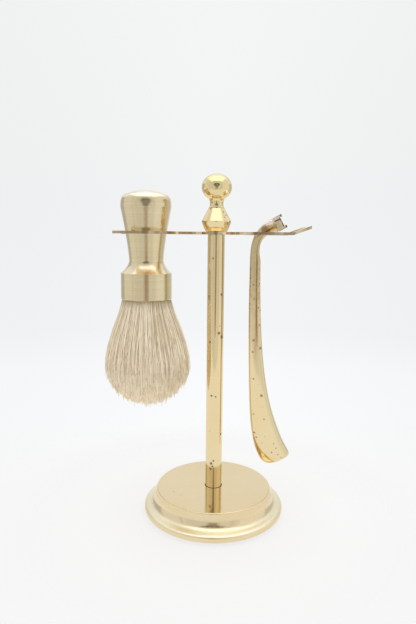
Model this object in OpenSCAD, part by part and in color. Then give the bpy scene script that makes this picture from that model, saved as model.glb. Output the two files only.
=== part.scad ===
// Brass shaving stand with its brush and razor.
// A weighted round foot carries a tube column. A tie rod inside the column pulls the foot,
// the column, a flat fork plate, a double-cone collar and a ball finial together.
// The brush hangs in the left fork by the taper of its handle, the razor in the right fork
// by its flared neck. Origin: centre of the foot's underside. +X points to the razor.

/* [Foot] */
// Widest radius of the rolled rim
foot_r = 36.3; // [35:0.1:39]
// Radius of the flat disc on top
disc_r = 29.8; // [28:0.1:30.5]
// Height of the flat disc above the surface
foot_h = 13; // [12.5:0.1:15]
// Wall thickness of the spun shell
shell_t = 1.3; // [1:0.1:1.6]
// Thickness of the felt pad
pad_t = 1.6; // [1.2:0.1:2]

/* [Column] */
// Outside diameter of the tube
column_d = 8.6; // [8.4:0.1:9.4]
// Wall thickness of the tube
column_wall = 0.8; // [0.6:0.1:0.9]
// Diameter of the tie rod
rod_d = 4; // [3:0.1:4]
// Height of the fork plate's underside
plate_z = 144.6; // [135:0.1:160]

/* [Fork plate] */
// Thickness of the plate
plate_t = 1.3; // [1:0.1:1.6]
// Distance from the column to the brush
brush_x = 34.9; // [34:0.1:38]
// Width of each brush prong
brush_prong_w = 5.2; // [4.6:0.1:6]
// Reach of the brush prongs beyond the brush's axis
brush_reach = 14.6; // [13:0.1:16]
// Width of the razor's slot
slot_w = 12.9; // [12.4:0.1:13.4]
// Width of each razor prong
razor_prong_w = 5.8; // [5:0.1:7]
// Where the razor prongs bend upwards
bend_x = 35.9; // [35:0.1:38]
// How far out the razor prongs end
razor_tip_x = 45.4; // [43:0.1:48]
// Upward bend of the razor prongs in degrees
bend_deg = 20; // [10:1:22]

/* [Finial] */
// Widest radius of the double cone
cone_r = 7.4; // [6.8:0.1:8.5]
// Radius of the ball
ball_r = 7.5; // [6.8:0.1:8.5]

/* [Brush] */
// Radius of the handle's head
head_r = 12.6; // [12.2:0.1:13.2]
// Radius of the handle's waist
waist_r = 8.55; // [8.2:0.05:8.7]
// Radius of the ferrule
ferrule_r = 12.8; // [12.6:0.1:13.4]
// Height of the ferrule
ferrule_h = 13.6; // [12:0.1:16]
// Widest radius of the bristles
knot_r = 21.5; // [19:0.1:23]
// Free length of the bristles
knot_len = 53.5; // [48:0.5:58]

/* [Razor] */
// Half thickness of the grip's end
grip_end = 7.35; // [6.8:0.05:7.5]
// Half thickness of the grip under its neck
grip_neck = 2.65; // [2.5:0.05:2.9]
// Half width of the grip
grip_half = 4.8; // [4:0.1:5.2]
// Length of the cartridge rail
rail_len = 20; // [18:0.5:22]

/* [Hidden] */

brass = "#d8b669";
satin_brass = "#cdbd92";
steel = "#9a9da0";
iron = "#4a4a4c";
felt = "#3d5a41";
hair = "#dccbaa";
resin = "#8f8577";

round_fn = 96;
small_fn = 48;
steps = 16;

// Clearances: running parts, parts of two bodies face to face, parts of one body
run_gap = 0.05;
face_gap = 0.05;
glue_gap = 0.02;

column_r = column_d / 2;
tube_bore = column_r - column_wall;
rod_r = rod_d / 2;
rod_hole = rod_r + run_gap;
plate_top = plate_z + plate_t;

// Heights along the brush handle
foot_edge_z = plate_z - 19.1;
waist_z = foot_edge_z + 6;
swell_z = foot_edge_z + 32.1;
foot_edge_r = ferrule_r - 0.5;

// Handle radius below and above the waist
function flare(u) = waist_r + (foot_edge_r - waist_r) * pow(u, 1.7);
function taper(u) = waist_r + (head_r - waist_r) * pow(u, 1.3);

// ---- curves ----
function lerp(a, b, t) = a + (b - a) * t;
function bez(p, t) =
    pow(1 - t, 3) * p[0] + 3 * pow(1 - t, 2) * t * p[1]
    + 3 * (1 - t) * t * t * p[2] + t * t * t * p[3];
function bez_slope(p, t) =
    pow(1 - t, 2) * (p[1] - p[0]) + 2 * (1 - t) * t * (p[2] - p[1]) + t * t * (p[3] - p[2]);
function curve(p, n = steps) = [for (i = [0:n]) bez(p, i / n)];
function arc(c, rx, ry, a0, a1, n = steps) =
    [for (i = [0:n]) let (a = lerp(a0, a1, i / n)) c + [rx * cos(a), ry * sin(a)]];

module ring(r_out, r_in, z0, z1) {
    translate([0, 0, z0])
        difference() {
            cylinder(r = r_out, h = z1 - z0, $fn = round_fn);
            translate([0, 0, -1])
                cylinder(r = r_in, h = z1 - z0 + 2, $fn = small_fn);
        }
}

module bore(r, z0, z1) {
    translate([0, 0, z0])
        cylinder(r = r, h = z1 - z0, $fn = small_fn);
}

// ---- foot ----
rim_lift = 0.6;
shoulder = 0.7;
foot_hole = column_r + 0.3;
edge_z = foot_h - 1.8;
// Where the concave sweep meets the convex brim, and where the brim turns down
sweep_end = [foot_r - 2.7, 5.3];
brim_z = 3.2;
roll_z = 2.6;
tuck = 4;
cavity_r = foot_r - tuck - 0.8;
floor_z = foot_h - shell_t;
seat_z = floor_z - 2.2;
web_z = 6;
nut_af = 7;
nut_h = 3.2;
washer_t = 1;
well_r = 7;

// Flat disc with a soft edge, a concave sweep and a rounded brim that tucks in underneath
module foot_outline() {
    polygon(concat(
        [[0, foot_h], [0, rim_lift]],
        arc([foot_r - tuck, roll_z], tuck, roll_z - rim_lift, -90, 0, 8),
        curve([[foot_r, brim_z], [foot_r, brim_z + 1.5], sweep_end + [1.6, -0.43], sweep_end], 12),
        curve([sweep_end + [-0.2, 0.05], sweep_end + [-2.6, 0.7], [disc_r, edge_z - 2.6],
            [disc_r, edge_z]], 14),
        arc([disc_r - shoulder, foot_h - shoulder], shoulder, shoulder, 0, 90, 6)
    ));
}

module foot_cavity() {
    polygon([
        [0, floor_z],
        [0, -1],
        [cavity_r, -1],
        [cavity_r, roll_z + 1],
        [disc_r - shell_t, edge_z - 3],
        [disc_r - shell_t, floor_z]
    ]);
}

module base_shell() {
    color(brass)
        difference() {
            rotate_extrude($fn = 144)
                difference() {
                    foot_outline();
                    foot_cavity();
                }
            bore(foot_hole, floor_z - 1, foot_h + 1);
        }
}

module base_weight() {
    r = disc_r - shell_t - 0.5;
    color(iron)
        difference() {
            bore(r, pad_t, floor_z);
            bore(rod_hole, 0, foot_h);
            bore(column_r + glue_gap, seat_z, foot_h);
            bore(well_r, 0, web_z);
        }
}

module felt_pad() {
    color(felt)
        bore(cavity_r - 0.3, 0, pad_t);
}

module clamp_washer() {
    color(steel)
        ring(well_r - 0.8, rod_hole, web_z - washer_t, web_z);
}

module clamp_nut() {
    top = web_z - washer_t;
    color(steel)
        difference() {
            translate([0, 0, top - nut_h])
                cylinder(d = nut_af / cos(30), h = nut_h, $fn = 6);
            bore(rod_r + glue_gap, top - nut_h - 1, top + 1);
        }
}

// ---- column ----
plug_len = 10;
spigot_r = 3;
rod_top = plate_z + 21;

module tie_rod() {
    color(steel)
        bore(rod_r, web_z - washer_t - nut_h + 0.2, rod_top);
}

module column_tube() {
    color(brass)
        ring(column_r, tube_bore, seat_z, plate_z - face_gap);
}

module column_lower_plug() {
    color(brass)
        ring(tube_bore - glue_gap, rod_hole, seat_z, seat_z + plug_len);
}

// The upper plug ends in a spigot on which the fork plate turns
module column_upper_plug() {
    top = plate_z - face_gap;
    color(brass)
        difference() {
            union() {
                bore(tube_bore - glue_gap, top - plug_len, top);
                bore(spigot_r, top - 1, plate_top);
            }
            bore(rod_hole, top - plug_len - 1, plate_top + 1);
        }
}

// ---- fork plate ----
boss_r = 8.5;
arm_half = 4.2;
hang_gap = 0.12;
seat_r = taper((plate_top - waist_z) / (swell_z - waist_z)) + hang_gap;
tip_half = seat_r + brush_prong_w / 2 - 1.15;
slot_end_x = 19.5;
fork_half = slot_w / 2 + razor_prong_w;
bend_r = 3;
corner_r = 2;

// Half width of the left arm, waisted between the boss and the brush fork
function arm_w(u) = arm_half + 5.2 * pow(abs(2 * u - 1), 3);

module brush_arm() {
    x0 = -brush_x + 8;
    x1 = 0;
    top = [for (i = [0:steps]) let (u = i / steps) [lerp(x1, x0, u), arm_w(u)]];
    bottom = [for (i = [steps:-1:0]) let (u = i / steps) [lerp(x1, x0, u), -arm_w(u)]];
    polygon(concat(top, bottom));
}

// Open ring round the brush, with prongs that close in slightly towards round tips
module brush_fork() {
    tip_r = brush_prong_w / 2;
    outer_r = seat_r + brush_prong_w;
    tip = [tip_r - brush_reach, tip_half];
    translate([-brush_x, 0])
        polygon(concat(
            arc([0, 0], outer_r, outer_r, -90, 90, 2 * steps),
            arc(tip, tip_r, tip_r, 90, 270, steps),
            arc([0, 0], seat_r, seat_r, 90, -90, 2 * steps),
            arc([tip[0], -tip[1]], tip_r, tip_r, 90, 270, steps)
        ));
}

module razor_fork() {
    reach = razor_tip_x - slot_end_x;
    difference() {
        union() {
            translate([slot_end_x, 0])
                circle(r = fork_half, $fn = round_fn);
            translate([slot_end_x, -fork_half])
                square([reach - corner_r, 2 * fork_half]);
            for (side = [-1, 1])
                for (edge = [slot_w / 2 + corner_r, fork_half - corner_r])
                    translate([razor_tip_x - corner_r, side * edge])
                        circle(r = corner_r, $fn = small_fn);
            for (side = [-1, 1])
                translate([razor_tip_x - 2 * corner_r, side * (slot_w + razor_prong_w) / 2])
                    square([4 * corner_r, razor_prong_w - 2 * corner_r], center = true);
        }
        translate([slot_end_x, 0])
            circle(d = slot_w, $fn = round_fn);
        translate([slot_end_x, -slot_w / 2])
            square([reach + 1, slot_w]);
    }
}

module plate_plan() {
    circle(r = boss_r, $fn = round_fn);
    difference() {
        brush_arm();
        translate([-brush_x, 0])
            circle(r = seat_r + 1, $fn = round_fn);
    }
    brush_fork();
    razor_fork();
}

// Side view of the plate: flat, then bent upwards near the razor prongs' ends
module plate_side() {
    left = -brush_x - brush_reach - 5;
    reach = razor_tip_x - bend_x + 5;
    inner = [bend_x, bend_r + plate_t];
    tip = inner + [bend_r * sin(bend_deg), -bend_r * cos(bend_deg)];
    low = inner + (bend_r + plate_t) * [sin(bend_deg), -cos(bend_deg)];
    run = reach * [cos(bend_deg), sin(bend_deg)];
    polygon(concat(
        [[left, 0]],
        arc(inner, bend_r + plate_t, bend_r + plate_t, 270, 270 + bend_deg, 6),
        [low + run, tip + run],
        arc(inner, bend_r, bend_r, 270 + bend_deg, 270, 6),
        [[left, plate_t]]
    ));
}

module fork_plate() {
    color(brass)
        difference() {
            intersection() {
                translate([0, 0, plate_z - 5])
                    linear_extrude(height = 20)
                        plate_plan();
                translate([0, 30, plate_z])
                    rotate([90, 0, 0])
                        linear_extrude(height = 60)
                            plate_side();
            }
            bore(spigot_r + run_gap, plate_z - 6, plate_z + 16);
        }
}

// ---- finial ----
cone_z = plate_top + face_gap;
cone_low_r = 5.1;
cone_high_r = 4.1;
cone_wide_z = cone_z + 5;
cone_top_z = cone_z + 11.4;
neck_z = cone_top_z + face_gap;
neck_r = 3.2;
ball_half = ball_r * 0.88;
ball_z = neck_z + 10.2;
ball_join = -58;

module cone_collar() {
    edge = 0.15;
    color(brass)
        difference() {
            rotate_extrude($fn = round_fn)
                polygon(concat(
                    [[0, cone_z]],
                    curve([[cone_low_r, cone_z], [cone_low_r + 1, cone_z + 1.1],
                        [cone_r - 0.3, cone_wide_z - 1.4], [cone_r, cone_wide_z - edge]], 8),
                    [[cone_r, cone_wide_z + edge], [cone_high_r, cone_top_z], [0, cone_top_z]]
                ));
            bore(rod_hole, cone_z - 1, cone_top_z + 1);
        }
}

module ball_finial() {
    join = [ball_r * cos(ball_join), ball_z + ball_half * sin(ball_join)];
    color(brass)
        difference() {
            rotate_extrude($fn = round_fn)
                polygon(concat(
                    [[0, neck_z], [cone_high_r - 0.2, neck_z], [cone_high_r - 0.2, neck_z + 0.35]],
                    curve([[cone_high_r - 0.4, neck_z + 0.5], [neck_r, neck_z + 1.6],
                        [neck_r, neck_z + 3.4], join], 12),
                    arc([0, ball_z], ball_r, ball_half, ball_join, 90, 32)
                ));
            bore(rod_hole, neck_z - 1, rod_top + 0.8);
        }
}

// ---- brush ----
handle_h = 40.6;
shoulder_z = foot_edge_z + 38.5;
crown_z = foot_edge_z + handle_h;
ferrule_z = foot_edge_z - ferrule_h;
socket_r = ferrule_r - 1.2;
socket_top = foot_edge_z - 3.4;
plug_z = ferrule_z + 2.5;
stud_r = 3;
stud_top = waist_z + 5;

module at_brush() {
    translate([-brush_x, 0, 0])
        children();
}

module brush_handle() {
    n = 12;
    crown_r = 10;
    color(satin_brass)
        at_brush()
            difference() {
                rotate_extrude($fn = round_fn)
                    polygon(concat(
                        [[0, foot_edge_z]],
                        [for (i = [n:-1:1]) let (u = i / n) [flare(u), lerp(waist_z, foot_edge_z, u)]],
                        [for (i = [0:n]) let (u = i / n) [taper(u), lerp(waist_z, swell_z, u)]],
                        curve([[head_r, swell_z + 0.3], [head_r, swell_z + 4],
                            [crown_r + 2, shoulder_z - 0.85], [crown_r, shoulder_z]], 12),
                        curve([[crown_r - 0.2, shoulder_z + 0.08], [crown_r - 3, crown_z - 0.6],
                            [3, crown_z], [0, crown_z]], 8)
                    ));
                bore(stud_r + glue_gap, foot_edge_z - 1, stud_top + 0.5);
            }
}

module brush_ferrule() {
    chamfer = 0.5;
    color(satin_brass)
        at_brush()
            difference() {
                rotate_extrude($fn = round_fn)
                    polygon([
                        [0, foot_edge_z],
                        [0, ferrule_z],
                        [ferrule_r - chamfer, ferrule_z],
                        [ferrule_r, ferrule_z + chamfer],
                        [ferrule_r, foot_edge_z - chamfer / 2],
                        [ferrule_r - chamfer / 2, foot_edge_z]
                    ]);
                bore(socket_r, ferrule_z - 1, socket_top);
                bore(stud_r + glue_gap, socket_top - 1, foot_edge_z + 1);
            }
}

module brush_stud() {
    color(steel)
        at_brush()
            bore(stud_r, socket_top, stud_top);
}

module knot_plug() {
    color(resin)
        at_brush()
            bore(socket_r - glue_gap, plug_z, socket_top);
}

// Plain outer shape of the bristle bundle: a fan that ends in a rounded bulb
module knot_bristles() {
    root_r = socket_r - 0.05;
    tip_z = ferrule_z - knot_len;
    wide_z = tip_z + 19.5;
    color(hair)
        at_brush()
            rotate_extrude($fn = round_fn)
                polygon(concat(
                    [[0, plug_z], [root_r, plug_z]],
                    curve([[root_r, ferrule_z - 0.1], [root_r + 1.6, ferrule_z - 5],
                        [knot_r - 0.1, wide_z + 13.5], [knot_r, wide_z]], 14),
                    curve([[knot_r, wide_z - 0.4], [knot_r - 0.2, wide_z - 10.5],
                        [knot_r - 8, tip_z], [0, tip_z]], 14)
                ));
}

// ---- razor ----
// Side-view path of the razor from the end of the grip to the rail, height from the plate
grip_path = [[30.4, -111.2], [23.1, -97.7], [19.6, -64.5], [19.65, -12.5]];
neck_path = [[19.65, -12.5], [19.6, -3.5], [21.3, 0.8], [28.5, 4.8]];
neck_top_t = [grip_neck, 2.6, 2.9, 3.6];
neck_low_t = [grip_neck, 0.7, 1.7, 3.4];
grip_half_w = [grip_half - 0.6, grip_half + 0.4, 3.4, 3.3];
neck_half_w = [3.3, 3.1, 3.2, 6.2];
rail_deg = 29;
ring_sides = 28;
grip_rings = 26;
neck_rings = 16;

// Half thickness along the grip: broad at its end, then drawn in to a long slim stem
function swell(t) = 1 / (1 + pow(t / 0.47, 2.6));
function grip_half_t(t) = lerp(grip_neck, grip_end, (swell(t) - swell(1)) / (1 - swell(1)));

// Points of one section: c centre, d direction of the path, half sizes, edge sharpness p
function section(c, d, up, low, half, p) =
    let (n = [-d[1], d[0]] / norm(d))
    [for (i = [0:ring_sides - 1])
        let (a = 360 * i / ring_sides,
            s = sign(sin(a)) * pow(abs(sin(a)), p),
            q = sign(cos(a)) * pow(abs(cos(a)), p),
            h = (s > 0 ? up : low) * s)
        [c[0] + n[0] * h, half * q, plate_z + c[1] + n[1] * h]];

// The end of the grip: its back corner is rounded widely, its front corner tightly
cap_len = 6.5;
cap_reach = [6.8, 6.5, 6.4, 6.1, 5.4, 4.4, 3.2, 2, 0.8];
back_corner = 6.5;
front_corner = 1.5;
side_corner = 2.2;
function corner(r, reach) =
    let (x = min(reach, cap_len) - cap_len + r)
    x < 0 ? 0 : r - sqrt(r * r - x * x) + max(0, reach - cap_len) * 4;
function cap_ring(reach) =
    let (d = bez_slope(grip_path, 0),
        c = grip_path[0] - d / norm(d) * reach)
    section(c, d, grip_end - corner(back_corner, reach), grip_end - corner(front_corner, reach),
        grip_half_w[0] - corner(side_corner, reach), 0.8);
function grip_ring(t) =
    section(bez(grip_path, t), bez_slope(grip_path, t), grip_half_t(t),
        grip_half_t(t), bez(grip_half_w, t), lerp(0.8, 1, t));
function neck_ring(t) =
    section(bez(neck_path, t), bez_slope(neck_path, t), bez(neck_top_t, t),
        bez(neck_low_t, t), bez(neck_half_w, t), lerp(1, 0.7, t));
function rail_ring() =
    section(neck_path[3], [cos(rail_deg), sin(rail_deg)], neck_top_t[3],
        neck_low_t[3], neck_half_w[3], 0.7);

module loft(rings) {
    n = ring_sides;
    last = len(rings) - 1;
    sides = [for (k = [0:last - 1], i = [0:n - 1])
        let (a = k * n + i, b = k * n + (i + 1) % n)
        each [[a, b, b + n], [a, b + n, a + n]]];
    start = [for (i = [n - 1:-1:0]) i];
    end = [for (i = [0:n - 1]) last * n + i];
    polyhedron(points = [for (r = rings) each r], faces = concat([start], sides, [end]));
}

module at_rail() {
    translate([neck_path[3][0], 0, plate_z + neck_path[3][1]])
        rotate([0, -rail_deg, 0])
            children();
}

rivet_r = 1;
rivet_len = 4.5;
web_t = 3.2;
lip_t = 1.1;
rail_depth = 4.3;
rail_up = 3.5;
rail_down = 3.5;

module razor_handle() {
    color(brass)
        difference() {
            loft(concat(
                [for (reach = cap_reach) cap_ring(reach)],
                [for (i = [0:grip_rings]) grip_ring(i / grip_rings)],
                [for (i = [1:neck_rings - 1]) neck_ring(i / neck_rings)],
                [rail_ring()]
            ));
            at_rail()
                rotate([0, -90, 0])
                    translate([0, 0, -0.5])
                        cylinder(r = rivet_r + glue_gap, h = rivet_len + 1, $fn = small_fn);
        }
}

// Channel that takes a slide-on cartridge, across the end of the neck
module razor_rail() {
    hook = 0.25;
    color(brass)
        at_rail()
            difference() {
                rotate([90, 0, 0])
                    linear_extrude(height = rail_len, center = true)
                        polygon([
                            [0, rail_up],
                            [0, -rail_down],
                            [rail_depth, -rail_down],
                            [rail_depth, lip_t + hook - rail_down],
                            [web_t, lip_t - rail_down],
                            [web_t, rail_up - lip_t],
                            [rail_depth, rail_up - lip_t - hook],
                            [rail_depth, rail_up]
                        ]);
                rotate([0, 90, 0])
                    translate([0, 0, -1])
                        cylinder(r = rivet_r + glue_gap, h = web_t + 2, $fn = small_fn);
            }
}

module razor_rivet() {
    head_h = 0.5;
    color(steel)
        at_rail()
            rotate([0, 90, 0])
                union() {
                    translate([0, 0, -rivet_len])
                        cylinder(r = rivet_r, h = rivet_len + web_t, $fn = small_fn);
                    translate([0, 0, web_t])
                        cylinder(r = rivet_r * 1.7, h = head_h, $fn = small_fn);
                }
}

base_shell();
base_weight();
felt_pad();
clamp_washer();
clamp_nut();
tie_rod();
column_tube();
column_lower_plug();
column_upper_plug();
fork_plate();
cone_collar();
ball_finial();
brush_handle();
brush_ferrule();
brush_stud();
knot_plug();
knot_bristles();
razor_handle();
razor_rail();
razor_rivet();
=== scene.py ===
"""Looks of a brass shaving stand with its brush and razor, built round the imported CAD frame."""

import math
import random

import bmesh
import bpy
from mathutils import Matrix, Vector


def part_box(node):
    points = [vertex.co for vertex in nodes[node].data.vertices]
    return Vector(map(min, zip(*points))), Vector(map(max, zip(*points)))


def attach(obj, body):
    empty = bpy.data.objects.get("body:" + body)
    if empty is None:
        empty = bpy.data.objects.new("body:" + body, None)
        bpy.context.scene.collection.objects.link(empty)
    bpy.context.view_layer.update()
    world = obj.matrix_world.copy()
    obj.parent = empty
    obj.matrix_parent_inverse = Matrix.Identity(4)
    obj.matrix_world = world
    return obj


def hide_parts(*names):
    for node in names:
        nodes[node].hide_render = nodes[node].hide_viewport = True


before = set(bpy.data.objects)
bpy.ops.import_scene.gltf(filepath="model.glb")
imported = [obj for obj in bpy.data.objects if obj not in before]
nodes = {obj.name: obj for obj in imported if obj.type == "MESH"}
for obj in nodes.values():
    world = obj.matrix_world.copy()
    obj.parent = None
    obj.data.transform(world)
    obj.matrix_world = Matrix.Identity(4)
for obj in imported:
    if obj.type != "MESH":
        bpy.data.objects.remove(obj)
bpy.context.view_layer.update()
rng = random.Random(11)
MM = 0.001

# ---------------------------------------------------------------- places taken from the frame
ferrule_low, ferrule_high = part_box("brush_ferrule")
knot_low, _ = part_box("knot_bristles")
_, column_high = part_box("column_tube")
brush_x = (ferrule_low.x + ferrule_high.x) / 2
column_r = column_high.x / MM
plate_z = column_high.z + 0.05 * MM  # the fork plate's underside


# ---------------------------------------------------------------- node trees
class Nodes:
    """Builds the node tree of a material or a world."""

    def __init__(self, owner):
        owner.use_nodes = True
        self.owner = owner
        self.tree = owner.node_tree
        self.tree.nodes.clear()

    def add(self, kind, inputs=None, **settings):
        node = self.tree.nodes.new(kind)
        for key, value in settings.items():
            setattr(node, key, value)
        for key, value in (inputs or {}).items():
            self.put(node.inputs[key], value)
        return node

    def put(self, socket, value):
        if isinstance(value, bpy.types.NodeSocket):
            self.tree.links.new(value, socket)
        else:
            socket.default_value = value

    def math(self, operation, a, b=0.0, clamp=False):
        return self.add("ShaderNodeMath", {0: a, 1: b}, operation=operation, use_clamp=clamp).outputs[0]

    def times_plus(self, a, b, c):
        """a times b, plus c."""
        return self.add("ShaderNodeMath", {0: a, 1: b, 2: c}, operation="MULTIPLY_ADD").outputs[0]

    def times(self, first, *others):
        for other in others:
            first = self.math("MULTIPLY", first, other)
        return first

    def most(self, first, *others):
        for other in others:
            first = self.math("MAXIMUM", first, other)
        return first

    def off(self, value, centre):
        """How far value is from centre, either way."""
        return self.math("ABSOLUTE", self.math("SUBTRACT", value, centre))

    def map(self, value, low, high, to_low=0.0, to_high=1.0, kind="LINEAR"):
        inputs = {"Value": value, "From Min": low, "From Max": high, "To Min": to_low, "To Max": to_high}
        return self.add("ShaderNodeMapRange", inputs, interpolation_type=kind).outputs["Result"]

    def ramp(self, value, low, high, to_low=0.0, to_high=1.0):
        """Smooth step of value from low..high to to_low..to_high."""
        return self.map(value, low, high, to_low, to_high, "SMOOTHSTEP")

    def step(self, value, low, high, to_low=0.0, to_high=1.0):
        """The same for a length, with low and high in millimetres."""
        return self.ramp(value, low * MM, high * MM, to_low, to_high)

    def split(self, vector):
        return self.add("ShaderNodeSeparateXYZ", {0: vector}).outputs

    def gap(self, a, b):
        return self.add("ShaderNodeVectorMath", {0: a, 1: b}, operation="DISTANCE").outputs["Value"]


class Surface(Nodes):
    """A Principled material patterned in the piece's own coordinates."""

    def __init__(self, name):
        super().__init__(bpy.data.materials.new(name))
        self.shader = self.add("ShaderNodeBsdfPrincipled")
        self.add("ShaderNodeOutputMaterial", {"Surface": self.shader.outputs[0]})
        self.place = self.add("ShaderNodeTexCoord").outputs["Object"]

    def mix(self, factor, a, b):
        node = self.add("ShaderNodeMix", data_type="RGBA")
        self.put(node.inputs["Factor"], factor)
        self.put(node.inputs[6], a)
        self.put(node.inputs[7], b)
        return node.outputs[2]

    def stretch(self, scale, offset=(0, 0, 0)):
        inputs = {"Vector": self.place, "Scale": scale, "Location": offset}
        return self.add("ShaderNodeMapping", inputs).outputs[0]

    def noise(self, scale, detail=2.0, vector=None, roughness=0.5, distortion=0.0):
        inputs = {"Vector": vector or self.place, "Scale": scale, "Detail": detail,
                  "Roughness": roughness, "Distortion": distortion}
        return self.add("ShaderNodeTexNoise", inputs).outputs["Fac"]

    def cells(self, scale):
        """Distance to the nearest of many scattered points, and that point's random colour."""
        inputs = {"Vector": self.place, "Scale": scale, "Randomness": 1.0}
        cells = self.add("ShaderNodeTexVoronoi", inputs).outputs
        return cells["Distance"], self.add("ShaderNodeSeparateColor", {0: cells["Color"]}).outputs

    def xyz(self):
        return self.split(self.place)

    def facing(self):
        """The surface's own direction, as x, y and z."""
        return self.split(self.add("ShaderNodeTexCoord").outputs["Normal"])

    def radius(self, axis_x=0.0):
        """Distance from an upright axis."""
        x, y, _ = self.split(self.stretch((1, 1, 1), (-axis_x, 0, 0)))
        return self.math("SQRT", self.math("ADD", self.math("POWER", x, 2), self.math("POWER", y, 2)))

    def along_profile(self, axis_x):
        """Radius and height round an upright axis, so that a pattern of them runs round a turned part."""
        inputs = {0: self.radius(axis_x), 1: self.xyz()[2]}
        return self.add("ShaderNodeCombineXYZ", inputs).outputs[0]

    def spots(self, places):
        """1 close to one of the places, on the near side only: each is (x, z, radius, y) in millimetres.

        A place without its y counts for every depth of the near side."""
        ragged = self.noise(1400, 1.5)
        upright = self.stretch((1, 0, 1))
        found = None
        for x, z, radius, *y in places:
            centre = (x * MM, y[0] * MM if y else 0, z * MM)
            gap = self.gap(self.place if y else upright, centre)
            edge = self.times_plus(ragged, 0.9 * radius * MM, 0.55 * radius * MM)
            share = self.ramp(self.math("DIVIDE", gap, edge), 0.55, 1.25, 1.0, 0.0)
            found = share if found is None else self.most(found, share)
        return self.times(found, self.math("LESS_THAN", self.xyz()[1], 0.0))

    def near(self, x, y, z, radius):
        """1 within a ragged radius of a place given in millimetres, fading out beyond it."""
        gap = self.gap(self.place, (x * MM, y * MM, z * MM))
        gap = self.times_plus(self.noise(700, 3), 0.6 * radius * MM, gap)
        return self.step(gap, radius, radius * 1.5, 1, 0)

    def finish(self, colour, metallic, roughness, height, depth, strength=0.6):
        self.put(self.shader.inputs["Base Color"], colour)
        self.put(self.shader.inputs["Metallic"], metallic)
        self.put(self.shader.inputs["Roughness"], roughness)
        bump = self.add("ShaderNodeBump", {"Height": height, "Strength": strength, "Distance": depth})
        self.put(self.shader.inputs["Normal"], bump.outputs[0])
        return self.owner


# ---------------------------------------------------------------- metals and plain materials
BRASS = (0.875, 0.728, 0.478)
TARNISH = (0.20, 0.13, 0.085, 1)


def tinted(colour, by):
    return [c * k for c, k in zip(colour, by)]


def brass(name, colour, roughness, axis_x=0.0, lines=0.0, patches=0.2, pits=0.2, spots=(), spot_depth=0.85,
          marks_and_light=None, haze=None):
    """Brass with uneven tone, tarnish patches, pits, hand-polished waviness and turning lines.

    A piece's own changes to tone and tarnish come in as a function, which on some pieces also paints
    highlights, reflections and shade into the tone; haze adds to its roughness."""
    n = Surface(name)
    broad = n.noise(45, 3)
    fine = n.noise(900, 4, roughness=0.65)
    tone = n.mix(n.ramp(broad, 0.3, 0.72), (*colour, 1), (*tinted(colour, (0.985, 0.965, 0.92)), 1))
    tone = n.mix(n.ramp(fine, 0.35, 0.8, 0, 0.3), tone, (*tinted(colour, (0.93, 0.88, 0.78)), 1))
    cloud = n.noise(260, 5, roughness=0.7, distortion=0.6)
    tarnish = n.ramp(cloud, 0.78 - 0.2 * patches, 0.86 - 0.16 * patches, 0, min(1.0, patches * 1.6))
    distance, pick = n.cells(420)
    chosen = n.math("GREATER_THAN", pick[0], 1 - pits * 0.2)
    tarnish = n.most(tarnish, n.times(n.ramp(distance, 0.06, 0.22, 0.8, 0), chosen))
    if spots:
        tarnish = n.most(tarnish, n.times(n.spots(spots), spot_depth))
    # the piece's own marks, and on some pieces painted highlights, reflections and shade
    if marks_and_light:
        tone, tarnish = marks_and_light(n, tone, tarnish)
    film = n.times(n.noise(120, 3), 0.06)
    if haze:
        film = n.math("ADD", film, haze(n))
    rough = n.math("ADD", film, n.times_plus(tarnish, 0.32, roughness), clamp=True)
    height = n.times_plus(fine, 0.012, n.times(n.noise(35, 1), 0.6))
    if lines:
        turned = n.noise(5200, 3, vector=n.along_profile(axis_x), roughness=0.8)
        height = n.times_plus(turned, lines, height)
    height = n.times_plus(tarnish, -0.08, height)
    return n.finish(n.mix(tarnish, tone, TARNISH), 1.0, rough, height, 0.00006)


def plain(name, colour, roughness, metallic=0.0, grain=600, spread=0.25, stretch=(1, 1, 1)):
    """A quiet material for a piece that hardly shows: mottled colour, uneven roughness and fine bump."""
    n = Surface(name)
    fine = n.noise(grain, 4, vector=n.stretch(stretch), roughness=0.7)
    tone = n.mix(n.ramp(fine, 0.3, 0.7), (*tinted(colour, [1 - spread] * 3), 1), (*colour, 1))
    rough = n.ramp(fine, 0.2, 0.8, roughness * 0.8, min(1.0, roughness * 1.25))
    return n.finish(tone, metallic, rough, fine, 0.00008, 0.5)


def paint(node, material):
    slots = nodes[node].data.materials
    slots.clear()
    slots.append(material)


# Tarnish spots on the near side of the column, the collar and the razor: x, z and radius in millimetres
COLUMN_SPOTS = (
    (-1.5, 133, 0.5), (3, 115, 0.8), (2, 95.5, 0.9), (3.4, 93.5, 1.1), (-2.5, 91, 0.6), (-1.5, 63, 0.6),
    (0.7, 62.5, 0.5), (3.5, 42, 0.7), (-1.3, 26.5, 0.8), (-0.1, 28, 0.55), (-1.6, 23.5, 0.75),
    (-0.6, 25, 0.55))
COLLAR_SPOTS = (
    (3.4, 155.5, 0.4), (4.6, 154, 0.35), (3.9, 153, 0.3), (-6.6, 151, 0.45), (6.6, 151, 0.4), (-3, 157, 0.35))
RAZOR_SPOTS = (
    (19.5, 92, 0.7), (22.9, 88, 0.8), (19.2, 86, 0.6), (19.8, 72, 0.5), (24, 63.5, 0.8), (20.2, 53.5, 0.45),
    (25.6, 51, 0.4), (20.9, 43.5, 0.6), (21.9, 41, 0.5), (30, 33, 0.5), (32.2, 35.5, 0.4), (33.3, 32, 0.4),
    (18.8, 120, 0.45), (19.3, 113, 0.4))
column_spots = [(x, z, radius, -math.sqrt(column_r ** 2 - x * x)) for x, z, radius in COLUMN_SPOTS]

# Two specks on the disc and a nick on the sweep: x, y, z and radius in millimetres
FOOT_SPECKS = ((-20.5, -8.6, 13, 0.35), (-16.5, -12.5, 13, 0.35), (-14, -30.5, 6, 0.4))
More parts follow.
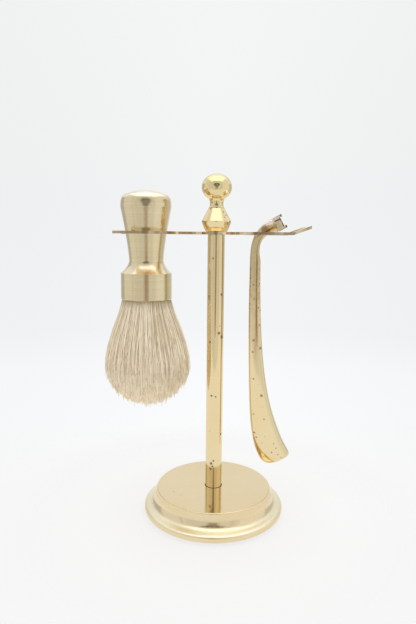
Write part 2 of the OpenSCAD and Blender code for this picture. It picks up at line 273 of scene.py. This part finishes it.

# Blotches on the plate's rims, partly tarnish and partly painted reflections: from x, to x in millimetres,
# and how much browner
RIM_TARNISH_AND_REFLECTIONS = ((-53, -46, 0.13), (-46, -26, 0.16), (-26, -21, 0.42), (-20.5, -14, -0.18),
                (16, 31, 0.17), (31, 36.5, 0.30), (36.5, 55, 0.02))


def foot_specks_and_highlight(n, tone, tarnish):
    """Specks and a nick, and a painted highlight: paler colour on the upward-facing brim."""
    # painted highlight: the upward-facing part of the brim gets a paler colour
    brim_highlight = n.times(n.step(n.radius(), 31.2, 32.6), n.ramp(n.facing()[2], 0.55, 0.8))
    tone = n.mix(n.times(brim_highlight, 0.7), tone, (0.96, 0.915, 0.71, 1))
    for speck in FOOT_SPECKS:
        tarnish = n.most(tarnish, n.times(n.near(*speck), 0.6))
    return tone, tarnish


def foot_haze(n):
    """The foot's brim and the disc's edge are less finely polished than the disc."""
    radius = n.radius()
    edge = n.times(n.step(radius, 28.8, 29.3, 0, 0.25), n.step(radius, 29.9, 30.2, 1, 0))
    cove = n.step(radius, 29.9, 30.3, 0, 0.06)
    return n.math("ADD", n.math("ADD", edge, cove), n.step(radius, 31.4, 32.4, 0, 0.20))


def column_shade_under_plate(n, tone, tarnish):
    """The column is a little darker towards its top: painted shade under the plate."""
    return n.mix(n.step(n.xyz()[2], 95, 125, 0, 0.8), tone, (0.745, 0.61, 0.36, 1)), tarnish


def plate_tarnish_and_reflections(n, tone, tarnish):
    """The plate's rims are browner than its faces, in long blotches along x: partly tarnish, partly painted
    reflections.
    """
    brown = n.noise(110, 3, vector=n.stretch((1, 0.3, 0.3)), roughness=0.6)
    x = n.xyz()[0]
    # blotches along the rims: partly tarnish, partly painted reflections of the surroundings
    for low, high, browner in RIM_TARNISH_AND_REFLECTIONS:
        inside = n.times(n.step(x, low, low + 1.5), n.step(x, high, high + 1.5, 1, 0))
        brown = n.times_plus(inside, browner, brown)
    rim_tone = n.mix(n.ramp(brown, 0.42, 0.68), (0.82, 0.68, 0.46, 1), (0.34, 0.26, 0.16, 1))
    level = n.math("ABSOLUTE", n.facing()[2])
    return n.mix(n.ramp(level, 0.25, 0.8, 0.85, 0.0), tone, rim_tone), tarnish


def brush_rings_and_highlight(n, tone, tarnish):
    """Fine rings left by the lathe, and a painted highlight: paler metal where the surface turns upward."""
    rings = n.noise(2600, 1, vector=n.along_profile(brush_x))
    tone = n.mix(n.ramp(rings, 0.42, 0.62, 0, 0.35), tone, (0.66, 0.555, 0.36, 1))
    above = ferrule_high.z / MM
    # painted highlight on the upward-facing surfaces of the upper handle
    pale = n.step(n.xyz()[2], above + 10, above + 25, 0.3, 0.7)
    pale = n.times(n.ramp(n.facing()[2], 0.25, 0.7), pale)
    return n.mix(pale, tone, (0.94, 0.89, 0.77, 1)), tarnish


paint("base_shell", brass("foot_brass", tinted(BRASS, (0.965, 0.975, 0.98)), 0.07, lines=0.05,
                          patches=0.02, pits=0.0, marks_and_light=foot_specks_and_highlight, haze=foot_haze))
paint("column_tube", brass("column_brass", tinted(BRASS, (0.985, 0.985, 0.92)), 0.06, lines=0.02,
                           patches=0.12, spots=column_spots, marks_and_light=column_shade_under_plate))
paint("cone_collar", brass("cone_brass", tinted(BRASS, (0.98, 0.98, 0.9)), 0.07, lines=0.03,
                           pits=0.3, spots=COLLAR_SPOTS))
paint("ball_finial", brass("ball_brass", tinted(BRASS, (0.93, 0.95, 0.82)), 0.07, lines=0.02,
                           patches=0.05, pits=0.1))
paint("fork_plate", brass("plate_brass", (0.83, 0.67, 0.43), 0.13, patches=0.35, pits=0.4, marks_and_light=plate_tarnish_and_reflections))
satin = brass("satin_brass", (0.78, 0.678, 0.452), 0.14, brush_x, lines=0.5,
              patches=0.0, pits=0.02, marks_and_light=brush_rings_and_highlight)
paint("brush_handle", satin)
paint("brush_ferrule", satin)
for part in ("column_lower_plug", "column_upper_plug"):
    paint(part, brass(part + "_brass", BRASS, 0.2, lines=0.6))
steel = plain("zinc_steel", (0.6, 0.61, 0.62), 0.35, 1.0)
for part in ("clamp_washer", "clamp_nut", "tie_rod", "brush_stud", "razor_rivet"):
    paint(part, steel)
paint("base_weight", plain("cast_iron", (0.16, 0.16, 0.17), 0.7, 0.9, 350, 0.4))
paint("felt_pad", plain("wool_felt", (0.05, 0.10, 0.06), 0.95, 0.0, 1500, 0.5))
paint("knot_plug", plain("cast_resin", (0.45, 0.40, 0.33), 0.5, 0.0, 200, 0.2))
paint("knot_bristles", plain("bristle_core", (0.62, 0.50, 0.34), 0.8, 0.0, 600, 0.3, (6, 6, 0.4)))

for part, width in (("fork_plate", 0.2), ("razor_rail", 0.4)):
    soften = nodes[part].modifiers.new("softened_edges", "BEVEL")
    soften.width = width * MM
    soften.segments = 2
    soften.limit_method = "ANGLE"
    soften.angle_limit = math.radians(40)
    soften.harden_normals = True


# ---------------------------------------------------------------- helpers for meshes
def lerp(a, b, t):
    return a + (b - a) * t


def bezier(p, t):
    """A cubic through four controls, which are numbers or points."""
    weights = ((1 - t) ** 3, 3 * t * (1 - t) ** 2, 3 * t * t * (1 - t), t ** 3)
    if isinstance(p[0], (int, float)):
        return sum(w * v for w, v in zip(weights, p))
    return [sum(w * v for w, v in zip(weights, axis)) for axis in zip(*p)]


def bezier_slope(p, t):
    """The direction of such a cubic of points, whatever its length."""
    weights = ((1 - t) ** 2, 2 * t * (1 - t), t * t)
    return [sum(w * (axis[i + 1] - axis[i]) for i, w in enumerate(weights)) for axis in zip(*p)]


def make(name, points, faces, material, body, slot, *stands_for, turn_out=True):
    """A smooth piece that rides on a body; turn_out makes every face look outward."""
    mesh = bpy.data.meshes.new(name)
    mesh.from_pydata(points, [], faces)
    if turn_out:
        work = bmesh.new()
        work.from_mesh(mesh)
        bmesh.ops.recalc_face_normals(work, faces=work.faces)
        work.to_mesh(mesh)
        work.free()
    mesh.polygons.foreach_set("use_smooth", [True] * len(mesh.polygons))
    mesh.materials.append(material)
    ob = bpy.data.objects.new(name, mesh)
    bpy.context.scene.collection.objects.link(ob)
    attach(ob, body)
    if stands_for:
        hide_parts(*stands_for)
    return ob


def loft(rings):
    """Points and faces of a closed skin over rings of equal length."""
    count = len(rings[0])
    points = [p for ring in rings for p in ring]
    faces = []
    for k in range(len(rings) - 1):
        for i in range(count):
            a, b = k * count + i, k * count + (i + 1) % count
            faces.append((a, b, b + count, a + count))
    faces.append(tuple(reversed(range(count))))
    faces.append(tuple(range((len(rings) - 1) * count, len(rings) * count)))
    return points, faces


# ---------------------------------------------------------------- razor handle
# Side view of the grip and the neck: x, and height from the plate's underside, in millimetres
GRIP = ((30.4, -111.2), (23.1, -97.7), (19.6, -64.5), (19.65, -12.5))
NECK = ((19.65, -12.5), (19.6, -3.5), (21.3, 0.8), (28.5, 4.8))

# In millimetres: half depth in that view at the low end and at the neck, half width at the low end, and the
# length of the rounded cap. The near face is proudest at CROWN, from -1 at the front to 1 at the back.
GRIP_END, GRIP_NECK, GRIP_HALF, CAP = 7.35, 2.65, 4.2, 6.8
CROWN = -0.42
CAP_RINGS, GRIP_RINGS, NECK_RINGS = 14, 90, 40


def swell(t):
    """How thick the grip still is, from 1 at its low end, falling towards the neck."""
    return 1 / (1 + (t / 0.47) ** 2.6)


def half_section(crown, fall, crease, bevel):
    """Places of the near side, from the front edge over the crown and the crease to the back edge.

    Each is (across, out): across runs from -1 at the front to 1 at the back, out from 0 to 1."""
    def side(across):
        return math.sqrt(1 - (fall * (across - crown) / (1 - crown)) ** 2)

    places = []
    for i in range(9):
        angle = math.pi / 2 * (1 - i / 8)
        places.append((crown - (1 + crown) * math.sin(angle) ** 0.87, math.cos(angle) ** 0.87))
    for i in range(1, 10):
        across = lerp(crown, crease - 0.02, i / 9)
        places.append((across, side(across)))
    edge = side(crease)
    for share in (0.06, 0.4, 0.75, 1.0):
        places.append((lerp(crease, 1, share), edge - bevel * share ** 1.3))
    return places


def razor_ring(centre, slope, back, fore, half, places):
    """One ring across the razor; back, fore and half are its reaches in millimetres."""
    length = math.hypot(*slope)
    nx, nz = -slope[1] / length, slope[0] / length
    row = []
    for side, run in ((-1, places), (1, places[:0:-1])):
        for across, out in run:
            reach = (back if across > 0 else fore) * across
            x, z = centre[0] + nx * reach, centre[1] + nz * reach
            row.append((x * MM, side * half * out * MM, plate_z + z * MM))
    return row


def rounding(radius, reach):
    """How far a corner of that radius has drawn in at reach, measured from the start of the cap."""
    x = min(max(reach - CAP + radius, 0), radius)
    return radius - math.sqrt(radius ** 2 - x ** 2)


def razor_rings():
    rings = []
    slope = bezier_slope(GRIP, 0)
    length = math.hypot(*slope)
    for i in range(CAP_RINGS):
        reach = CAP * math.sin(math.pi / 2 * (1 - i / CAP_RINGS))
        places = half_section(CROWN, 0.7, lerp(0.5, 0.2, reach / CAP), 0.5)
        centre = [p - s / length * reach for p, s in zip(GRIP[0], slope)]
        back, fore = GRIP_END - rounding(6.5, reach), GRIP_END - rounding(1.6, reach)
        rings.append(razor_ring(centre, slope, back, fore, GRIP_HALF - rounding(2.4, reach), places))
    for i in range(GRIP_RINGS + 1):
        t = i / GRIP_RINGS
        thick = lerp(GRIP_NECK, GRIP_END, (swell(t) - swell(1)) / (1 - swell(1)))
        crease = lerp(0.5, 0.86, min(t * 6, 1) ** 0.7)
        places = half_section(CROWN, lerp(0.7, 0.9, t), crease, lerp(0.5, 0.3, min(t * 3, 1)))
        half = bezier((GRIP_HALF, 5.2, 3.4, 3.3), t)
        rings.append(razor_ring(bezier(GRIP, t), bezier_slope(GRIP, t), thick, thick, half, places))
    for i in range(1, NECK_RINGS + 1):
        t = i / NECK_RINGS
        places = half_section(lerp(CROWN, -0.1, t), lerp(0.9, 0.7, t), 0.86, lerp(0.3, 0.5, t))
        back = bezier((GRIP_NECK, 2.6, 2.9, 3.6), t)
        fore = bezier((GRIP_NECK, 0.7, 1.7, 3.4), t)
        half = bezier((3.3, 3.1, 3.2, 6.2), t)
        rings.append(razor_ring(bezier(NECK, t), bezier_slope(NECK, t), back, fore, half, places))
    return rings


# Pale top colour: partly pinkish tarnish, partly a painted reflection of the bright space above
PALE_TARNISH_AND_SHEEN = (0.98, 0.90, 0.87, 1)


def razor_marks_and_reflections(n, tone, tarnish):
    """Pits in rows along both edges of the stem; a golden back edge that is a painted reflection; painted
    shade and a painted reflection on the bend of the neck; and a pale top, partly pinkish tarnish and partly
    a painted reflection.
    """
    x, _, z = n.xyz()
    face_x, face_y, _ = n.facing()

    # Pits: dense in two rows beside the stem's middle, sparse elsewhere
    distance, pick = n.cells(720)
    rows = n.times(n.step(n.off(x, 19.5 * MM), 1.0, 2.2), n.step(z, 88, 106), n.step(z, 120, 137, 1, 0.35))
    likely = n.math("GREATER_THAN", pick[1], n.times_plus(rows, -0.6, 0.96))
    dots = n.times(n.ramp(distance, 0.12, 0.5, 0.9, 0), likely, n.most(rows, n.step(z, 30, 50, 0.5, 0.15)))

    # Painted reflection on the back edge, grime of the stem, a painted reflection of the brass foot on the
    # heel, a warm streak, and painted shade on the front's rounding
    # painted reflection: orange-gold on the faces turned towards the column
    back = n.ramp(face_x, -0.55, -0.85)
    tone = n.mix(n.times(back, 0.8), tone, (0.66, 0.44, 0.18, 1))
    grime = n.times(n.step(z, 85, 125), n.ramp(n.noise(330, 4, roughness=0.7), 0.3, 0.7))
    tone = n.mix(n.times(grime, 0.6), tone, (0.52, 0.40, 0.22, 1))
    tone = n.mix(n.step(z, 100, 134, 0, 0.75), tone, (0.58, 0.46, 0.26, 1))
    # painted reflection of the brass foot: orange on the low front of the grip
    heel_reflection = n.times(n.ramp(face_y, -0.9, -0.6), n.step(z, 34, 52, 1, 0), n.ramp(face_x, -0.1, 0.15, 1, 0))
    tone = n.mix(n.times(heel_reflection, 0.9), tone, (0.80, 0.55, 0.17, 1))
    warm = n.times(n.step(z, 78, 90), n.step(z, 104, 118, 1, 0), n.step(n.off(x, 20.4 * MM), 0.2, 0.7, 1, 0))
    tone = n.mix(n.times(warm, 0.5), tone, (0.60, 0.34, 0.14, 1))
    # painted shade: greenish grey on the faces turned towards the right
    front = n.times(n.ramp(face_x, 0.12, 0.4), n.step(z, 95, 110, 1, 0))
    tone = n.mix(n.times(front, 0.55), tone, (0.68, 0.62, 0.40, 1))

    # The bend over the plate: an orange patch of painted reflection, brown patches of painted shade, and the
    # pale top, partly pinkish tarnish and partly painted reflection
    orange_reflection = n.spots([(26.3, 147.4, 2.3)])
    tone = n.mix(n.times(orange_reflection, 0.9), tone, (0.66, 0.42, 0.13, 1))
    # painted shade: brown patches on the near side of the bend
    brown = n.spots([(23.7, 147.2, 1.9), (24.8, 146.4, 1.6)])
    tone = n.mix(n.times(brown, 0.85), tone, (0.30, 0.17, 0.08, 1))
    # pale top: partly pinkish tarnish, partly a painted reflection of the bright space above
    level = n.times_plus(n.noise(500, 3), 2 * MM, z)
    pale = n.times(n.step(level, 150.0, 150.9), n.step(x, 21.2, 23.2))
    return n.mix(n.times(pale, 0.85), tone, PALE_TARNISH_AND_SHEEN), n.most(tarnish, dots)


RAIL_TILT = math.radians(29)


def rail_marks_and_sheen(n, tone, tarnish):
    """The rail is pale on top, partly pinkish tarnish and partly a painted reflection of the bright space
    above; green-gold on its ends, and browned along the edges of the ends.
    """
    cloud = n.noise(420, 3, roughness=0.6)
    x, _, z = n.xyz()
    _, face_y, face_z = n.facing()

    # The rail's own directions, from the neck's end: out along the neck, along across it
    dx, dz = n.math("SUBTRACT", x, NECK[3][0] * MM), n.math("SUBTRACT", z, plate_z + NECK[3][1] * MM)
    uneven = n.times_plus(cloud, 0.8 * MM, -0.4 * MM)
    out = n.times_plus(dx, math.cos(RAIL_TILT), n.times(dz, math.sin(RAIL_TILT)))
    along = n.times_plus(dz, math.cos(RAIL_TILT), n.times(dx, -math.sin(RAIL_TILT)))
    out, along = n.math("ADD", out, uneven), n.math("ADD", along, uneven)
    either = n.math("ABSOLUTE", along)

    end = n.ramp(n.math("ABSOLUTE", face_y), 0.4, 0.8)
    upper = n.most(n.times(end, n.step(along, 1.9, 2.3)), n.ramp(face_z, 0.3, 0.8))
    tone = n.mix(n.times(end, n.ramp(cloud, 0.4, 0.6, 0.2, 0.7)), tone, (0.62, 0.55, 0.32, 1))
    # painted reflection on the upward-facing faces and the ends' upper part, in the pale tarnish colour
    tone = n.mix(n.times(upper, 0.85), tone, PALE_TARNISH_AND_SHEEN)
    seam = n.step(n.off(along, 1.75 * MM), 0.2, 0.5, 1, 0)
    inner = n.times(n.step(out, 2.45, 2.85), n.step(either, 2.2, 2.6, 1, 0))
    rim = n.most(seam, inner, n.step(out, 3.3, 3.8), n.step(either, 3.1, 3.4, 0, 0.6))
    return n.mix(n.times(rim, end, 0.9), tone, (0.20, 0.11, 0.08, 1)), tarnish


razor_metal = brass("razor_brass", (0.865, 0.72, 0.44), 0.09, patches=0.1, pits=0.25, spots=RAZOR_SPOTS,
                    spot_depth=0.7, marks_and_light=razor_marks_and_reflections)
points, faces = loft(razor_rings())
make("razor_handle_fine", points, faces, razor_metal, "razor", "razor_brass", "razor_handle")
paint("razor_handle", razor_metal)
paint("razor_rail", brass("rail_brass", (0.88, 0.80, 0.56), 0.3, patches=0.1, marks_and_light=rail_marks_and_sheen))


# ---------------------------------------------------------------- bristles
# The knot's outline as (radius, height) in millimetres: the fan down to its widest place, then the end
KNOT_R, ROOT_R = 21.5, 11.5
ferrule_z, tip_z = ferrule_low.z / MM, knot_low.z / MM
wide_z = tip_z + 19.5
FAN = ((ROOT_R, ferrule_z), (ROOT_R + 1.3, ferrule_z - 5.5), (KNOT_R - 0.5, wide_z + 12.5), (KNOT_R, wide_z))
BULB = ((KNOT_R, wide_z), (KNOT_R - 0.2, wide_z - 10.5), (KNOT_R - 9, tip_z + 0.2), (0.0, tip_z))
INSIDE = 0.985  # the hairs' share of that outline, which leaves room for their thickness
PARTING = -math.pi / 4.1  # direction of the parting on the near right, whose hairs get a painted shade


def table_of(curve, count=120):
    return [bezier(curve, i / count) for i in range(count + 1)]


def look_up(rows, z):
    """Radius at height z from rows of (radius, height), highest first."""
    for (r0, z0), (r1, z1) in zip(rows, rows[1:]):
        if z0 >= z >= z1:
            return lerp(r0, r1, (z0 - z) / max(z0 - z1, 1e-9))
    return rows[0][0] if z > rows[0][1] else rows[-1][0]


FAN_ROWS, BULB_ROWS = table_of(FAN), table_of(BULB)


def spread(z):
    """Radius of the outermost hairs at height z; below the widest place they turn in a little."""
    if z >= wide_z:
        return look_up(FAN_ROWS, z) * INSIDE
    return KNOT_R * INSIDE * (1 - 0.10 * ((wide_z - z) / (wide_z - tip_z)) ** 2)


def end_height(share):
    """Height at which a hair at that share of the spread meets the rounded end."""
    low, high = tip_z, wide_z
    for _ in range(24):
        z = (low + high) / 2
        if share * spread(z) > look_up(BULB_ROWS, z):
            low = z
        else:
            high = z
    return (low + high) / 2


def hair_material():
    """Hair between brown and cream by each strand's tone, warmer near the tips, with painted shade at the
    roots and a faint painted glow.
    """
    n = Surface("badger_hair")
    tone = n.add("ShaderNodeAttribute", attribute_name="tone").outputs["Fac"]
    fleck = n.noise(900, 2, vector=n.stretch((1, 1, 0.12)))
    shade = n.times_plus(n.math("SUBTRACT", fleck, 0.5), 0.5, tone)
    colour = n.mix(n.ramp(shade, 0.1, 0.9), (0.54, 0.41, 0.255, 1), (1.0, 0.93, 0.76, 1))
    z = n.xyz()[2]
    low = n.step(z, tip_z, tip_z + 30, 1, 0)
    colour = n.mix(n.times(low, 0.5), colour, (1.0, 0.85, 0.61, 1))
    # painted shade: darker hair just under the ferrule's rim
    colour = n.mix(n.step(z, ferrule_z - 5, ferrule_z, 0, 0.35), colour, (0.42, 0.34, 0.22, 1))
    # painted glow: a faint emission that stands in for light let through the hair
    n.put(n.shader.inputs["Emission Color"], colour)
    n.put(n.shader.inputs["Emission Strength"], 0.15)
    return n.finish(colour, 0.0, n.ramp(fleck, 0.2, 0.8, 0.42, 0.62), fleck, 0.00002, 0.3)


def hairs(name, clumps, per_clump, share_of, start_of, segments, thick, trim, *stands_for):
    """Tapered three-sided hairs, closed at both ends, gathered in clumps whose tips draw together.

    share_of gives a clump's share of the spread, 1 for the outermost; start_of gives a hair's upper end from
    its share; trim gives how much higher than the rounded end a clump stops."""
    points, faces, tones = [], [], []
    for c in range(clumps):
        turn = math.tau * (c + rng.uniform(-0.45, 0.45)) / clumps * 13 % math.tau
        share = share_of()
        clump_trim, clump_tone = trim(share), rng.gauss(0, 0.06)
        curl, lift = rng.gauss(0, 0.04), rng.gauss(0, 0.012)
        pull = rng.uniform(0.3, 0.7)
        for _ in range(per_clump):
            side, depth = rng.gauss(0, 0.085 / max(share, 0.25)), rng.gauss(0, 0.022)
            own = min(max(share + depth, 0.02), 1.0)
            end = end_height(min(share + depth * (1 - pull), 0.995)) + clump_trim + rng.gauss(0.8, 1.1)
            if rng.random() < 0.05:
                end -= rng.uniform(0.2, 1.2)
            top = start_of(own)
            bend = rng.gauss(0, 0.045 if rng.random() < 0.15 else 0.016)
            dark = rng.random() < 0.15
            tone = clump_tone + (rng.uniform(-0.1, 0.25) if dark else rng.gauss(0.66, 0.19))
            # painted shade: hairs along the parting are darker, as the gap between bundles would be
            if abs((turn + side - PARTING + math.pi) % math.tau - math.pi) < 0.02:
                tone -= 0.4
            first = len(points)
            for k in range(segments + 1):
                s = k / segments
                z = lerp(top, end, s)
                along = (ferrule_z - z) / (ferrule_z - tip_z)
                draw = 1 - pull * max(along, 0) ** 1.5
                angle = turn + side * draw + curl * along + bend * math.sin(s * 5)
                radius = (share + depth * draw + lift * along) * spread(z)
                x = brush_x / MM + radius * math.cos(angle) + 0.8 * along ** 2
                y = radius * math.sin(angle)
                size = thick * (1 - 0.65 * max(s - 0.35, 0) ** 1.2)
                for j in range(3):
                    a = angle + math.tau * (j + 0.5) / 3
                    points.append(((x + size * math.cos(a)) * MM, (y + size * math.sin(a)) * MM, z * MM))
                    tones.append(tone + 0.1 * max(s - 0.7, 0) / 0.3)
            for k in range(segments):
                for j in range(3):
                    a, b = first + 3 * k + j, first + 3 * k + (j + 1) % 3
                    faces.append((a, a + 3, b + 3, b))
            last = first + 3 * segments
            faces.append((first, first + 1, first + 2))
            faces.append((last + 2, last + 1, last))
    ob = make(name, points, faces, hair, "brush", "bristle", *stands_for, turn_out=False)
    layer = ob.data.attributes.new("tone", "FLOAT", "POINT")
    layer.data.foreach_set("value", tones)


def outer_share():
    return 1 - 0.11 * rng.random() ** 1.3


def outer_start(own):
    return ferrule_z + 1.2


def outer_trim(share):
    return rng.choice((0, 0, 0.5, 1.5, 4, 7, 11)) * rng.random()


def inner_share():
    return 0.93 * math.sqrt(rng.random())


def inner_start(own):
    return end_height(min(own, 0.995)) + 14


def inner_trim(share):
    return rng.uniform(-0.4, 0.9)


hair = hair_material()
hairs("bristles_outer", 500, 12, outer_share, outer_start, 5, 0.135, outer_trim, "knot_bristles")
hairs("bristles_inner", 380, 14, inner_share, inner_start, 4, 0.17, inner_trim)


def bristle_core():
    """Plain bundle under the outer hairs, so that no light falls through."""
    rows = [(ROOT_R - 0.35, ferrule_z + 2)]
    rows += [(r * 0.955, z) for r, z in FAN_ROWS[::4]]
    rows += [(r * 0.92, z + 2.6 * (1 - r / KNOT_R) + 2.6) for r, z in BULB_ROWS[6:-1:4]]
    rings = []
    for radius, z in rows:
        ring = []
        for i in range(96):
            angle = math.tau * i / 96
            r = radius * (1 + 0.006 * math.sin(angle * 17 + z * 0.4))
            ring.append(((brush_x / MM + r * math.cos(angle)) * MM, r * math.sin(angle) * MM, z * MM))
        rings.append(ring)
    return loft(rings)


points, faces = bristle_core()
bundle = plain("bundle", (0.82, 0.68, 0.47), 0.75, 0.0, 900, 0.2, (3, 3, 0.15))
make("bristle_core", points, faces, bundle, "brush", "bristle")


# ---------------------------------------------------------------- light tent
TENT_X, TENT_FRONT, TENT_BACK, TENT_TOP = 0.34, -0.30, 0.42, 0.56
TENT_MIDDLE, BACK_SIDE, REAR_TOP = 0.10, 0.17, 0.30
WHITE = (1.0, 1.0, 0.99)


def card(name, corners, colour, strength):
    """A glowing sheet of the light tent. The camera doesn't see it, the brass reflects it."""
    n = Nodes(bpy.data.materials.new(name))
    glow = n.add("ShaderNodeEmission", {0: (*colour, 1), 1: strength})
    n.add("ShaderNodeOutputMaterial", {0: glow.outputs[0]})
    mesh = bpy.data.meshes.new(name)
    mesh.from_pydata([Vector(c) for c in corners], [], [tuple(range(len(corners)))])
    mesh.materials.append(n.owner)
    ob = bpy.data.objects.new(name, mesh)
    bpy.context.scene.collection.objects.link(ob)
    ob.visible_camera = False
    ob.visible_shadow = False


def wall(name, a, b, strength, low=0.0, high=TENT_TOP):
    card(name, [(*a, low), (*b, low), (*b, high), (*a, high)], WHITE, strength)


def ceiling(name, half_x, y0, y1, z, strength):
    card(name, [(-half_x, y0, z), (half_x, y0, z), (half_x, y1, z), (-half_x, y1, z)], WHITE, strength)


def dark_shape(name, depth, half_outline, colour, strength):
    """A dark upright sheet in front, symmetric about x = 0.

    The outline is its right half's (x, z), from top to bottom."""
    corners = [(x, TENT_FRONT + depth, z) for x, z in half_outline]
    corners += [(-x, y, z) for x, y, z in reversed(corners) if x]
    card(name, corners, colour, strength)


wall("tent_left", (-TENT_X, TENT_FRONT), (-TENT_X, TENT_MIDDLE), 0.82)
wall("tent_right", (TENT_X, TENT_FRONT), (TENT_X, TENT_MIDDLE), 0.90)
wall("tent_left_rear", (-TENT_X, TENT_MIDDLE), (-TENT_X, TENT_BACK), 0.55, 0, REAR_TOP)
wall("tent_right_rear", (TENT_X, TENT_MIDDLE), (TENT_X, TENT_BACK), 0.64, 0, REAR_TOP)
wall("tent_left_top", (-TENT_X, TENT_MIDDLE), (-TENT_X, TENT_BACK), 0.95, REAR_TOP)
wall("tent_right_top", (TENT_X, TENT_MIDDLE), (TENT_X, TENT_BACK), 0.95, REAR_TOP)
wall("tent_back_left", (-TENT_X, TENT_BACK), (-BACK_SIDE, TENT_BACK), 0.72)
wall("tent_back", (-BACK_SIDE, TENT_BACK), (BACK_SIDE, TENT_BACK), 0.90)
wall("tent_back_right", (BACK_SIDE, TENT_BACK), (TENT_X, TENT_BACK), 0.72)
wall("tent_front", (-TENT_X, TENT_FRONT), (0, TENT_FRONT), 0.72)
wall("tent_front_right", (0, TENT_FRONT), (TENT_X, TENT_FRONT), 0.78)
wall("tent_seam_left", (-TENT_X + 0.01, -0.215), (-TENT_X + 0.01, -0.185), 0.58)
wall("tent_seam_right", (0.19, TENT_FRONT + 0.01), (0.21, TENT_FRONT + 0.01), 0.58)
ceiling("tent_ceiling", TENT_X, TENT_FRONT, TENT_BACK, TENT_TOP, 1.20)
ceiling("lamp", 0.27, -0.29, 0.16, TENT_TOP - 0.01, 1.5)

# What stands in front of the tent and shows as dark shapes in the polished brass
HEAD = ((0, 0.345), (0.055, 0.340), (0.100, 0.318), (0.126, 0.280), (0.122, 0.240), (0.090, 0.205),
        (0.060, 0.180), (0.048, 0.150), (0.040, 0.125), (0, 0.118))
MIDDLE = ((0, 0.268), (0.032, 0.258), (0.045, 0.232), (0.034, 0.204), (0, 0.192))
BODY = ((0, 0.162), (0.030, 0.158), (0.044, 0.140), (0.046, 0.100), (0.044, 0.060), (0.030, 0.044),
        (0, 0.040))
dark_shape("camera_shape", 0.015, HEAD, (1, 0.96, 0.88), 0.18)
dark_shape("camera_glint", 0.021, MIDDLE, (1, 0.97, 0.90), 0.34)
dark_shape("stand_shape", 0.018, BODY, (1, 0.76, 0.59), 0.41)


# ---------------------------------------------------------------- floor and surroundings
def floor_material():
    """Pale, evenly lit and gone with distance, so that the floor runs into the pale surroundings."""
    n = Nodes(bpy.data.materials.new("floor"))
    place = n.add("ShaderNodeTexCoord").outputs["Object"]
    reach = n.add("ShaderNodeVectorMath", {0: place}, operation="LENGTH").outputs["Value"]
    camera_ray = n.add("ShaderNodeLightPath").outputs["Is Camera Ray"]
    glow = n.math("SUBTRACT", 0.715, n.times(n.ramp(reach, 0.06, 0.13, 0, 0.195), camera_ray))
    lit = n.add("ShaderNodeBsdfDiffuse", {"Color": (0.22, 0.22, 0.222, 1)})
    even = n.add("ShaderNodeEmission", {"Color": (1.0, 1.0, 0.995, 1), "Strength": glow})
    ground = n.add("ShaderNodeAddShader", {0: lit.outputs[0], 1: even.outputs[0]})
    clear = n.add("ShaderNodeBsdfTransparent")
    gone = n.times(n.ramp(reach, 0.045, 0.16), camera_ray)
    blend = n.add("ShaderNodeMixShader", {0: gone, 1: ground.outputs[0], 2: clear.outputs[0]})
    n.add("ShaderNodeOutputMaterial", {0: blend.outputs[0]})
    return n.owner


bpy.ops.mesh.primitive_circle_add(vertices=128, radius=1.2, fill_type="NGON", location=(0, 0, 0))
floor = bpy.context.object
floor.name = "floor"
floor.data.materials.append(floor_material())

# The camera sees a pale sky that changes with height and is a little lighter in the middle
SKY_LOW, SKY_HIGH = (0.920, 0.928, 0.920, 1), (0.880, 0.894, 0.888, 1)
SKY_STOPS = ((0.14, (0.930, 0.940, 0.946, 1)), (0.24, (0.916, 0.925, 0.940, 1)),
             (0.31, (0.876, 0.884, 0.896, 1)), (0.58, (0.863, 0.874, 0.879, 1)))
world = bpy.data.worlds.new("surroundings")
bpy.context.scene.world = world
n = Nodes(world)
direction = n.split(n.add("ShaderNodeTexCoord").outputs["Generated"])
sky = n.add("ShaderNodeValToRGB", {0: n.map(direction["Z"], -0.45, 0.45)})
stops = sky.color_ramp.elements
stops[0].position, stops[0].color = 0.0, SKY_LOW
stops[1].position, stops[1].color = 1.0, SKY_HIGH
for position, colour in SKY_STOPS:
    stops.new(position).color = colour
middle_glow = n.map(n.math("ABSOLUTE", direction["X"]), 0.04, 0.34, 1.032, 0.998)
seen = n.add("ShaderNodeBackground", {0: sky.outputs[0], 1: middle_glow})
unseen = n.add("ShaderNodeBackground", {0: (0.9, 0.9, 0.9, 1)})
camera_ray = n.add("ShaderNodeLightPath").outputs["Is Camera Ray"]
choose = n.add("ShaderNodeMixShader", {0: camera_ray, 1: unseen.outputs[0], 2: seen.outputs[0]})
n.add("ShaderNodeOutputWorld", {0: choose.outputs[0]})

# ---------------------------------------------------------------- camera
CAMERA_PLACE = Vector((0, -0.2583, 0.1420))
PITCH, YAW, ROLL = math.radians(-8.0), math.radians(0.83), math.radians(0.56)
forward = Vector((-math.sin(YAW) * math.cos(PITCH), math.cos(YAW) * math.cos(PITCH), math.sin(PITCH)))
level = Vector((math.cos(YAW), math.sin(YAW), 0))
upward = level.cross(forward)
right = math.cos(ROLL) * level + math.sin(ROLL) * upward
up = math.cos(ROLL) * upward - math.sin(ROLL) * level
camera = bpy.data.objects.new("camera", bpy.data.cameras.new("camera"))
camera.data.lens = 29.62
camera.data.sensor_width = 36
camera.data.clip_start = 0.01
turn = Matrix((right, up, -forward)).transposed()
camera.matrix_world = Matrix.Translation(CAMERA_PLACE) @ turn.to_4x4()
bpy.context.scene.collection.objects.link(camera)
bpy.context.scene.camera = camera
bpy.context.scene.view_settings.view_transform = "Standard"
